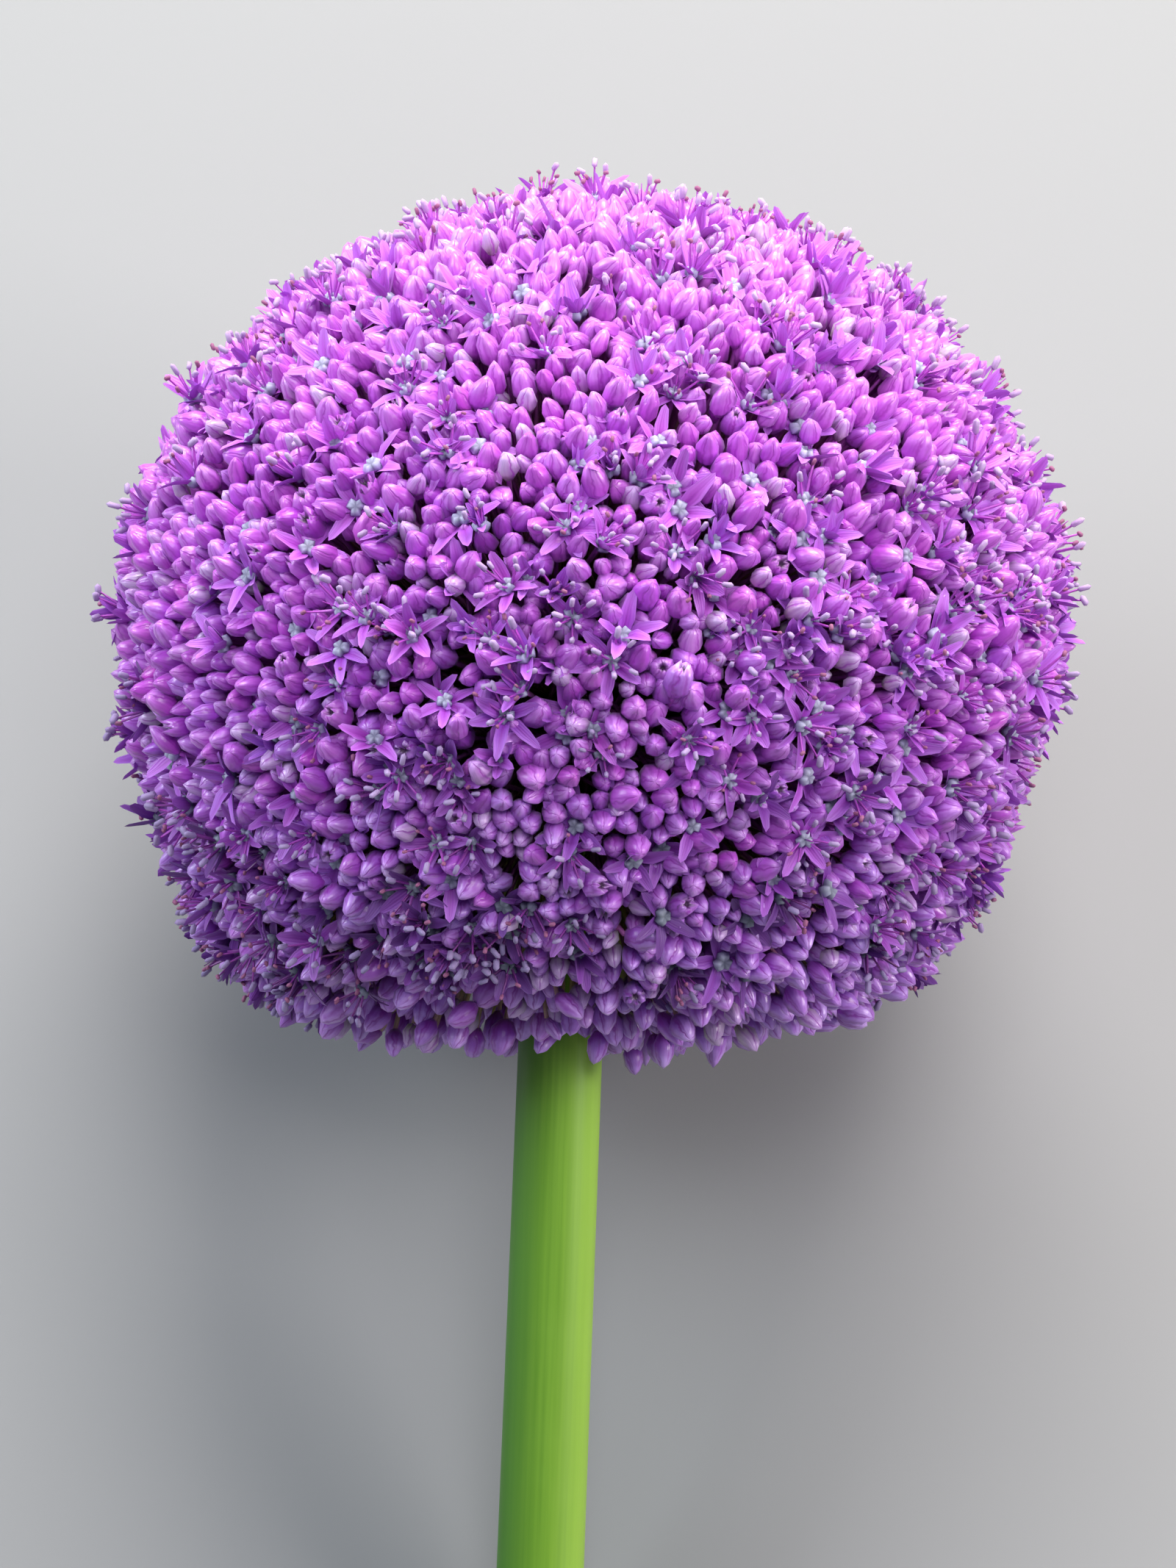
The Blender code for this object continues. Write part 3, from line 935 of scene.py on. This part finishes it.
def make_parts_tree():
    tree, given, result = new_group(
        "parts_round_florets",
        "GeometryNodeTree",
        {
            "Geometry": ("Geometry", None),
            "Shapes": ("Collection", None),
            "Count": ("Int", 1),
            "First Turn": ("Float", 0.0),
            "Turn Spread": ("Float", 0.0),
            "Lean": ("Float", 0.0),
            "Lean When Open": ("Float", 0.0),
            "Lean Spread": ("Float", 0.0),
            "Size Spread": ("Float", 0.0),
            "Own Chance": ("Float", 1.0),
            "Seed": ("Int", 0),
            "Finish": ("Material", None),
        },
        {"Geometry": ("Geometry", None)},
    )
    seed = given["Seed"]
    copies = add(tree, "GeometryNodeDuplicateElements",
                 {"Geometry": given["Geometry"], "Amount": given["Count"]}, domain="POINT")
    share = sum_up(tree, "DIVIDE", out(copies, "Duplicate Index"), given["Count"])
    uneven_turn = times(tree, random_between(tree, -1.0, 1.0, seed), given["Turn Spread"])
    start = sum_up(tree, "ADD", sum_up(tree, "ADD", given["First Turn"], read(tree, "twist")), uneven_turn)
    turn = times_plus(tree, share, math.tau, start)
    next_seed = sum_up(tree, "ADD", seed, 1.0)
    uneven = times(tree, random_between(tree, -1.0, 1.0, next_seed), given["Lean Spread"])
    opened = times_plus(tree, read(tree, "open"), given["Lean When Open"], given["Lean"])
    lean = sum_up(tree, "ADD", opened, uneven)
    aimed = out(add(tree, "FunctionNodeAlignRotationToVector", {"Vector": read(tree, "aim", "FLOAT_VECTOR")},
                    axis="Z"))
    rotation = turn_by(tree, turn_by(tree, aimed, z=turn), x=lean)
    growth = times(tree, random_between(tree, -1.0, 1.0, sum_up(tree, "ADD", seed, 2.0)),
                    given["Size Spread"])
    size = times(tree, read(tree, "size"), sum_up(tree, "ADD", growth, 1.0))
    shapes = add(tree, "GeometryNodeCollectionInfo",
                 {"Collection": given["Shapes"], "Separate Children": True, "Reset Children": True})
    placed = add(
        tree,
        "GeometryNodeInstanceOnPoints",
        {
            "Points": out(copies),
            "Instance": out(shapes),
            "Pick Instance": True,
            "Instance Index": random_between(tree, 0, 99, sum_up(tree, "ADD", seed, 3.0), "INT"),
            "Rotation": rotation,
            "Scale": size,
        },
    )
    own = random_between(tree, 0.0, 1.0, sum_up(tree, "ADD", seed, 4.0))
    kept = sum_up(tree, "SUBTRACT", 1.0, given["Own Chance"])
    mixed = times_plus(tree, own, given["Own Chance"], times(tree, read(tree, "tint"), kept))
    stored = add(tree, "GeometryNodeStoreNamedAttribute",
                 {"Geometry": out(placed), "Name": "chance", "Value": mixed},
                 domain="INSTANCE", data_type="FLOAT")
    solid = add(tree, "GeometryNodeRealizeInstances", {"Geometry": out(stored)})
    finished = add(tree, "GeometryNodeSetMaterial", {"Geometry": out(solid), "Material": given["Finish"]})
    tree.links.new(out(finished), result["Geometry"])
    return tree


PARTS_TREE = make_parts_tree()
print(PARTS_TREE.name, "has", len(PARTS_TREE.nodes), "nodes")

# %% [markdown]
# A modifier's inputs are set by each socket's identifier. The evaluated object is then turned into
# a plain mesh, and the modifier and its seats are thrown away.

# %% Run a tree and keep its mesh
def grow(name, tree, seats, values):
    """The tree's result on these seats, as a plain object in the scene."""
    show(seats)
    modifier = seats.modifiers.new("grow", "NODES")
    modifier.node_group = tree
    sockets = [item for item in tree.interface.items_tree if item.in_out == "INPUT"]
    identifiers = {socket.name: socket.identifier for socket in sockets}
    for label, value in values.items():
        modifier[identifiers[label]] = value
    graph = bpy.context.evaluated_depsgraph_get()
    mesh = bpy.data.meshes.new_from_object(
        seats.evaluated_get(graph), preserve_all_data_layers=True, depsgraph=graph
    )
    mesh.name = name
    seats.modifiers.remove(modifier)
    bpy.data.objects.remove(seats)
    piece = bpy.data.objects.new(name, mesh)
    show(piece)
    lay_down(piece)
    triangles = sum(len(face.vertices) - 2 for face in mesh.polygons)
    print(f"{name}: {triangles} triangles")
    return piece


def lay_down(piece):
    """Moves the mesh to where the plant lies. The object itself stays at the origin."""
    piece.data.transform(LAY_DOWN)
    piece.data.update()


def shape_collection(name, shapes):
    collection = bpy.data.collections.new(name)
    for shape in shapes:
        collection.objects.link(shape)
    return collection


TWISTS = RANDOM.uniform(0, math.tau, len(stages))
TINTS = np.clip(RANDOM.normal(0.5, 0.24, len(stages)), 0, 1)
YOUNG_AGES = RANDOM.uniform(0, 0.28, len(stages))
AGES = np.where(stages == "young", YOUNG_AGES, RANDOM.uniform(0.35, 1, len(stages)))
AGES = np.where(stages == "ripe", AGES - 0.14 * budded, AGES)
# Each floret's share of painted light: 0 at the head's foot, in painted shade, to 1 at its top.
PAINTED_LIGHT = np.clip(0.5 + 0.5 * on_ball[:, 2] + RANDOM.normal(0, 0.08, len(stages)), 0, 1)
OPENINGS = np.clip(1.1 - np.abs(RANDOM.normal(0, 0.45, len(stages))), 0.25, 1.1)


def seats_of(wanted, where):
    """Points for the florets at these stages, with what the tree reads from each."""
    chosen = np.isin(stages.astype(str), wanted) & where
    values = {"aim": aims, "twist": TWISTS, "size": sizes, "tint": TINTS, "age": AGES,
              "open": OPENINGS, "painted_light": PAINTED_LIGHT}
    values = {label: value[chosen] for label, value in values.items()}
    return mesh_object("seats", bases[chosen], [], values)


def grow_parts(name, wanted, shapes, finish, where=True, **values):
    collection = shape_collection(name + "_shapes", shapes)
    labels = {label.replace("_", " ").title(): value for label, value in values.items()}
    labels.update({"Shapes": collection, "Finish": finish})
    piece = grow(name, PARTS_TREE, seats_of(wanted, where), labels)
    for shape in shapes:
        collection.objects.unlink(shape)
    bpy.data.collections.remove(collection)
    return piece


# %% [markdown]
# ## Growing the florets

# %% Buds
BUD = {"size_spread": 0.06, "lean_spread": 0.08, "own_chance": 0.5}
higher = on_ball[:, 2] > 0
upper_buds = grow_parts("upper_buds", ["ripe"], CLOSED_BUDS, BUD_PETALS, where=higher, seed=21, **BUD)
lower_buds = grow_parts("lower_buds", ["ripe"], CLOSED_BUDS, BUD_PETALS, where=~higher, seed=27, **BUD)
inner_buds = grow_parts("inner_buds", ["inner", "young"], INNER_BUDS, BUD_PETALS, seed=31, **BUD)
splitting_buds = grow_parts("splitting_buds", ["splitting"], SPLITTING_BUDS, BUD_PETALS, seed=41, **BUD)

# %% Open flowers
PETAL = {"count": 6, "turn_spread": 0.16, "lean_when_open": math.radians(70), "lean_spread": 0.28,
         "size_spread": 0.1, "own_chance": 0.3}
petals = grow_parts("petals", ["open"], PETALS, OPEN_PETALS, seed=51, **PETAL)
faded_petals = grow_parts("faded_petals", ["faded"], FADED_PETALS, OPEN_PETALS, seed=81, **PETAL)
STAMEN = {"count": 6, "first_turn": math.radians(8), "turn_spread": 0.3, "lean": math.radians(8),
          "lean_when_open": math.radians(20), "lean_spread": 0.24, "size_spread": 0.12, "seed": 61}
filaments = grow_parts("filaments", ["open"], FILAMENTS, FILAMENT, **STAMEN)
anthers = grow_parts("anthers", ["open"], ANTHERS, ANTHER, **STAMEN)
ovaries = grow_parts("ovaries", ["open", "faded"], OVARIES, OVARY, size_spread=0.08, seed=71)
styles = grow_parts("styles", ["open"], STYLES, FILAMENT, lean_spread=0.12, size_spread=0.15, seed=71)

# %% [markdown]
# ## The stalks
#
# A stalk is a path, so Geometry Nodes sweep a small round section along it. It leaves the dome in
# its root's direction and ends in its floret's direction.

# %% Stalk paths
STALK_POINTS = 4
STALK_RADIUS = 0.42 * MM


def stalk_paths():
    """A chain of points from each root to its floret, easing from one direction to the other."""
    share = np.linspace(0, 1, STALK_POINTS)[None, :, None]
    reach = np.linalg.norm(bases - roots, axis=1, keepdims=True)
    handle = 0.36 * reach
    sway = RANDOM.normal(0, 0.8 * MM, roots.shape)
    start, first = roots[:, None], (roots + unit(roots) * handle * 0.5 + sway)[:, None]
    end, last = bases[:, None], (bases - aims * handle)[:, None]
    rest = 1 - share
    path = rest**3 * start + 3 * rest**2 * share * first + 3 * rest * share**2 * last + share**3 * end
    points = path.reshape(-1, 3)
    links = [(i, i + 1) for i in range(len(points)) if (i + 1) % STALK_POINTS]
    low = np.repeat(np.clip((np.degrees(polar) - 95) / 40, 0, 1), STALK_POINTS)
    return mesh_object("stalk_paths", points, [], {"low": low}, links=links)


def make_stalk_tree():
    tree, given, result = new_group(
        "stalks_on_paths",
        "GeometryNodeTree",
        {
            "Geometry": ("Geometry", None),
            "Radius": ("Float", 0.0004),
            "Taper": ("Float", 0.3),
            "Sides": ("Int", 4),
            "Finish": ("Material", None),
        },
        {"Geometry": ("Geometry", None)},
    )
    curves = add(tree, "GeometryNodeMeshToCurve", {"Mesh": given["Geometry"]})
    along = out(add(tree, "GeometryNodeSplineParameter"), "Factor")
    marked = add(tree, "GeometryNodeStoreNamedAttribute",
                 {"Geometry": out(curves), "Name": "along", "Value": along},
                 domain="POINT", data_type="FLOAT")
    width = sum_up(tree, "SUBTRACT", 1.0, times(tree, along, given["Taper"]))
    sized = add(tree, "GeometryNodeSetCurveRadius", {"Curve": out(marked), "Radius": width})
    section = add(tree, "GeometryNodeCurvePrimitiveCircle",
                  {"Resolution": given["Sides"], "Radius": given["Radius"]})
    tubes = add(tree, "GeometryNodeCurveToMesh",
                {"Curve": out(sized), "Profile Curve": out(section), "Fill Caps": True})
    smooth = add(tree, "GeometryNodeSetShadeSmooth", {"Geometry": out(tubes), "Shade Smooth": True})
    solid = add(tree, "GeometryNodeRealizeInstances", {"Geometry": out(smooth)})
    finished = add(tree, "GeometryNodeSetMaterial", {"Geometry": out(solid), "Material": given["Finish"]})
    tree.links.new(out(finished), result["Geometry"])
    return tree


STALK_TREE = make_stalk_tree()
STALK_INPUTS = {"Radius": STALK_RADIUS, "Taper": 0.3, "Sides": 3, "Finish": STALK}
stalks = grow("stalks", STALK_TREE, stalk_paths(), STALK_INPUTS)

# %% [markdown]
# ## The scape
#
# The scape is turned from one profile: a flat cut, a long smooth stem that narrows a little, and
# the dome. Its skin is satin green with a faint bloom and fine lengthwise streaks, with painted
# shade down one side and painted light, yellower, down the other. The cut shows paler, moist flesh.

# %% Scape
SCAPE_SIDES = 56


def make_scape_material():
    material, tree, shader = new_material("scape_skin", 0.42, specular_ior_level=0.35)
    grown = attribute(tree, "grown", "Vector")
    stretched = out(add(tree, "ShaderNodeMapping", {"Vector": grown, "Scale": (1400.0, 1400.0, 30.0)}))
    streaks = out(add(tree, "ShaderNodeTexNoise", {"Vector": stretched, "Scale": 1.0, "Detail": 2.0}))
    skin = ramp(tree, streaks, [(0.3, (0.155, 0.34, 0.021)), (0.7, (0.205, 0.41, 0.030))])
    bloom = mottled(tree, 60.0, 0.5)
    bloomed = blend(tree, bloom, skin, (0.34, 0.56, 0.10))
    sideways = times_plus(tree, place_of(tree, "grown", "X"), 80.0, 0.5)
    # Painted shade darkens one side of the skin and painted light yellows the other.
    painted_shade_side = ramp(tree, sideways, [(0.05, 0.95), (0.55, 0)])
    painted_light_side = ramp(tree, sideways, [(0.6, 0), (0.95, 0.7)])
    bloomed = blend(tree, painted_shade_side, bloomed, (0.050, 0.165, 0.013))
    bloomed = blend(tree, painted_light_side, bloomed, (0.36, 0.60, 0.07))
    cut = attribute(tree, "cut")
    pith = out(add(tree, "ShaderNodeTexNoise", {"Vector": grown, "Scale": 1500.0, "Detail": 3.0}))
    flesh = ramp(tree, pith, [(0.35, (0.34, 0.46, 0.16)), (0.7, (0.62, 0.70, 0.42))])
    paint(tree, shader, blend(tree, cut, bloomed, flesh))
    bump(tree, shader, streaks, 0.12)
    return material


def scape_profile():
    """(radius, height, 1 on the cut or 0 on the skin), from the cut's middle to the dome's top."""
    bottom = -SCAPE_LENGTH
    for share in (0.3, 0.65, 0.93):
        yield CUT_RADIUS * share, bottom, 1.0
    yield CUT_RADIUS * 0.985, bottom + 0.02 * MM, 1.0
    yield CUT_RADIUS, bottom + 0.3 * MM, 0.0
    neck = -2.2 * DOME_RADIUS
    rows = 24
    for row in range(1, rows + 1):
        share = row / rows
        yield CUT_RADIUS + (NECK_OF_SCAPE - CUT_RADIUS) * share, bottom + (neck - bottom) * share, 0.0
    dome_rows = 12
    start = math.radians(128)
    for row in range(dome_rows):
        angle = start * (1 - row / dome_rows)
        yield DOME_RADIUS * math.sin(angle), DOME_RADIUS * math.cos(angle), 0.0


def make_scape():
    rows = list(scape_profile())
    points, cut, faces = [(0, 0, -SCAPE_LENGTH)], [1.0], []
    for radius, height, on_cut in rows:
        for side in range(SCAPE_SIDES):
            angle = side / SCAPE_SIDES * math.tau
            points.append(round_point(radius, angle, height))
            cut.append(on_cut)
    points.append((0, 0, DOME_RADIUS))
    cut.append(0.0)
    top, last = len(points) - 1, len(points) - 1 - SCAPE_SIDES
    for side in range(SCAPE_SIDES):
        after = (side + 1) % SCAPE_SIDES
        faces.append((0, 1 + after, 1 + side))
        faces.append((last + side, last + after, top))
        for low in range(1, last, SCAPE_SIDES):
            faces.append((low + side, low + after, low + SCAPE_SIDES + after, low + SCAPE_SIDES + side))
    scape = mesh_object("scape_skin", points, faces, {"grown": points, "cut": cut}, math.radians(50))
    scape.data.materials.append(make_scape_material())
    show(scape)
    lay_down(scape)
    return scape


scape = make_scape()
print(f"scape: {len(scape.data.polygons)} faces")

# %% [markdown]
# ## The spathe
#
# Before it opened, the whole head was wrapped in a thin green bag. It split into two valves, which
# withered to straw-coloured paper and hang down inside the lowest florets.

# %% Spathe valves
VALVE_LENGTH = 31.5 * MM
VALVE_WIDTH = 8.5 * MM
VALVE_THICKNESS = 0.2 * MM
VALVE_TOP = -8.5 * MM
VALVE_STANDOFF = 0.4 * MM
VALVE_FLARE = 4.0 * MM
VALVE_ROWS, VALVE_COLUMNS = 22, 9


def make_spathe_material():
    material, tree, shader = new_material("spathe_paper", 0.75)
    across = place_of(tree, "spot", "X")
    nerves = veins(tree, across, 22.0, 3.0, 1.5)
    along = attribute(tree, "along")
    body = ramp(tree, along, [(0, (0.42, 0.44, 0.14)), (0.5, (0.60, 0.50, 0.20)), (1, (0.36, 0.30, 0.10))])
    mottle = mottled(tree, 350.0, 1.2)
    dried = blend(tree, mottle, body, (0.75, 0.66, 0.42))
    paint(tree, shader, blend(tree, times(tree, nerves, 0.5), dried, (0.30, 0.24, 0.08)))
    bump(tree, shader, nerves, 0.5)
    return material


def valve_point(along, across, azimuth, lift):
    half = VALVE_WIDTH / 2 * (1 - along) ** 0.7 + 0.3 * MM
    pleat = 0.12 * MM * math.cos(9 * across + 5 * along) * math.sin(math.pi * min(along * 1.5, 1))
    radius = NECK_OF_SCAPE + VALVE_STANDOFF + VALVE_FLARE * along**2 + lift + abs(pleat)
    turn = azimuth + across * half / radius
    return (radius * math.cos(turn), radius * math.sin(turn), VALVE_TOP - VALVE_LENGTH * along)


def make_valve(name, azimuth, finish):
    points, along_values, spots = [], [], []
    for lift in (0, VALVE_THICKNESS):
        for row in range(VALVE_ROWS):
            for column in range(VALVE_COLUMNS):
                along, across = row / (VALVE_ROWS - 1), 2 * column / (VALVE_COLUMNS - 1) - 1
                points.append(valve_point(along, across, azimuth, lift))
                along_values.append(along)
                spots.append((across, 0, 0))
    layer = VALVE_ROWS * VALVE_COLUMNS
    faces = []
    for row in range(VALVE_ROWS - 1):
        for column in range(VALVE_COLUMNS - 1):
            a = row * VALVE_COLUMNS + column
            corner = (a, a + 1, a + VALVE_COLUMNS + 1, a + VALVE_COLUMNS)
            faces.append(corner)
            faces.append(tuple(layer + i for i in reversed(corner)))
    rim = list(range(VALVE_COLUMNS))
    rim += [row * VALVE_COLUMNS + VALVE_COLUMNS - 1 for row in range(1, VALVE_ROWS)]
    rim += [(VALVE_ROWS - 1) * VALVE_COLUMNS + column for column in range(VALVE_COLUMNS - 2, -1, -1)]
    rim += [row * VALVE_COLUMNS for row in range(VALVE_ROWS - 2, 0, -1)]
    for here, there in zip(rim, rim[1:] + rim[:1]):
        faces.append((there, here, layer + here, layer + there))
    valve = mesh_object(name, points, faces, {"along": along_values, "spot": spots}, math.radians(50))
    valve.data.materials.append(finish)
    show(valve)
    lay_down(valve)
    return valve


SPATHE_PAPER = make_spathe_material()
valve_left = make_valve("spathe_blade_left", math.radians(195), SPATHE_PAPER)
valve_right = make_valve("spathe_blade_right", math.radians(15), SPATHE_PAPER)
print("made", valve_left.name, valve_right.name)

# %% [markdown]
# ## Which body each piece rides, and which frame nodes it replaces
#
# Nothing on a flower moves on a joint, so every piece rides the one body.

# %% Ride and replace
floret_pieces = [upper_buds, lower_buds, inner_buds, splitting_buds, petals, faded_petals,
                 filaments, anthers, ovaries, styles, stalks]
for piece in floret_pieces:
    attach(piece, "root")
    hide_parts(*SPRAYS)
for piece, node, slot in (
    (scape, "scape", "scape"),
    (valve_left, "spathe_valve_left", "spathe"),
    (valve_right, "spathe_valve_right", "spathe"),
):
    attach(piece, "root")
    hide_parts(node)
print(len(floret_pieces) + 3, "pieces ride the body")

# %% [markdown]
# ## Floor, light and camera
#
# The flower lies on a pale floor. The camera looks down on it square to the scape, so the scape
# points up the picture as it does when the plant stands. A large soft lamp shines from the head's
# top side, where the sky would be. Weaker ones fill in from the right, the left and the front.

# %% Floor
def make_floor():
    size = 3.0
    corners = [(-size, -size, 0), (size, -size, 0), (size, size, 0), (-size, size, 0)]
    mesh = bpy.data.meshes.new("floor")
    mesh.from_pydata(corners, [], [(0, 1, 2, 3)])
    floor = bpy.data.objects.new("floor", mesh)
    material, _, shader = new_material("pale_floor", 0.8)
    shader.inputs["Base Color"].default_value = (0.29, 0.29, 0.285, 1)
    mesh.materials.append(material)
    show(floor)
    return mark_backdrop(floor) or floor


make_floor()
print("floor made")

# %% Camera
LENS = 100.0
SENSOR_WIDTH = 36.0
CAMERA_DISTANCE = 0.660
CAMERA_ROLL = math.radians(2.2)
head_centre = LAY_DOWN @ Vector(head_middle)
plant_up = (LAY_DOWN.to_3x3() @ Vector((0, 0, 1))).normalized()
look = (LAY_DOWN.to_3x3() @ Vector((0, 1, 0))).normalized()
side = Vector((1, 0, 0))
camera_up = (plant_up * math.cos(CAMERA_ROLL) - side * math.sin(CAMERA_ROLL)).normalized()
camera_right = look.cross(camera_up).normalized()
target = head_centre - camera_right * 1.2 * MM - camera_up * 22.6 * MM


def make_camera():
    data = bpy.data.cameras.new("camera")
    data.lens = LENS
    data.sensor_width = SENSOR_WIDTH
    camera = bpy.data.objects.new("camera", data)
    axes = Matrix((camera_right, camera_up, -look)).transposed().to_4x4()
    camera.matrix_world = Matrix.Translation(target - look * CAMERA_DISTANCE) @ axes
    show(camera)
    bpy.context.scene.camera = camera
    return camera


camera = make_camera()
print(f"the camera looks down at {math.degrees(math.asin(-look.z)):.0f} degrees")

# %% Light
def soft_lamp(name, direction, distance, size, power, colour=(1, 1, 1)):
    """A square lamp that far from the head in that direction, turned towards it."""
    data = bpy.data.lights.new(name, "AREA")
    data.energy = power
    data.size = size
    data.color = colour
    lamp = bpy.data.objects.new(name, data)
    direction = direction.normalized()
    lamp.location = head_centre + direction * distance
    lamp.rotation_euler = direction.to_track_quat("Z", "Y").to_euler()
    show(lamp)


soft_lamp("sky", plant_up * 0.94 + side * 0.1 - look * 0.22, 1.0, 0.7, 19.5, (1.0, 0.98, 0.95))
soft_lamp("right", side * 0.85 - look * 0.45 + plant_up * 0.15, 1.0, 0.4, 6.6, (1.0, 0.95, 0.95))
soft_lamp("left", side * -0.85 - look * 0.3 + plant_up * 0.40, 1.0, 0.5, 7.8, (0.82, 0.93, 1.0))
soft_lamp("front", plant_up * 0.34 - look * 0.90 + side * 0.1, 1.0, 0.4, 3.5, (0.96, 0.95, 1.0))
world = bpy.data.worlds.new("studio")
world.use_nodes = True
world.node_tree.nodes["Background"].inputs["Color"].default_value = (0.78, 0.84, 1.0, 1)
world.node_tree.nodes["Background"].inputs["Strength"].default_value = 0.29
bpy.context.scene.world = world
bpy.context.scene.view_settings.view_transform = "Standard"
print("lamps and world made")
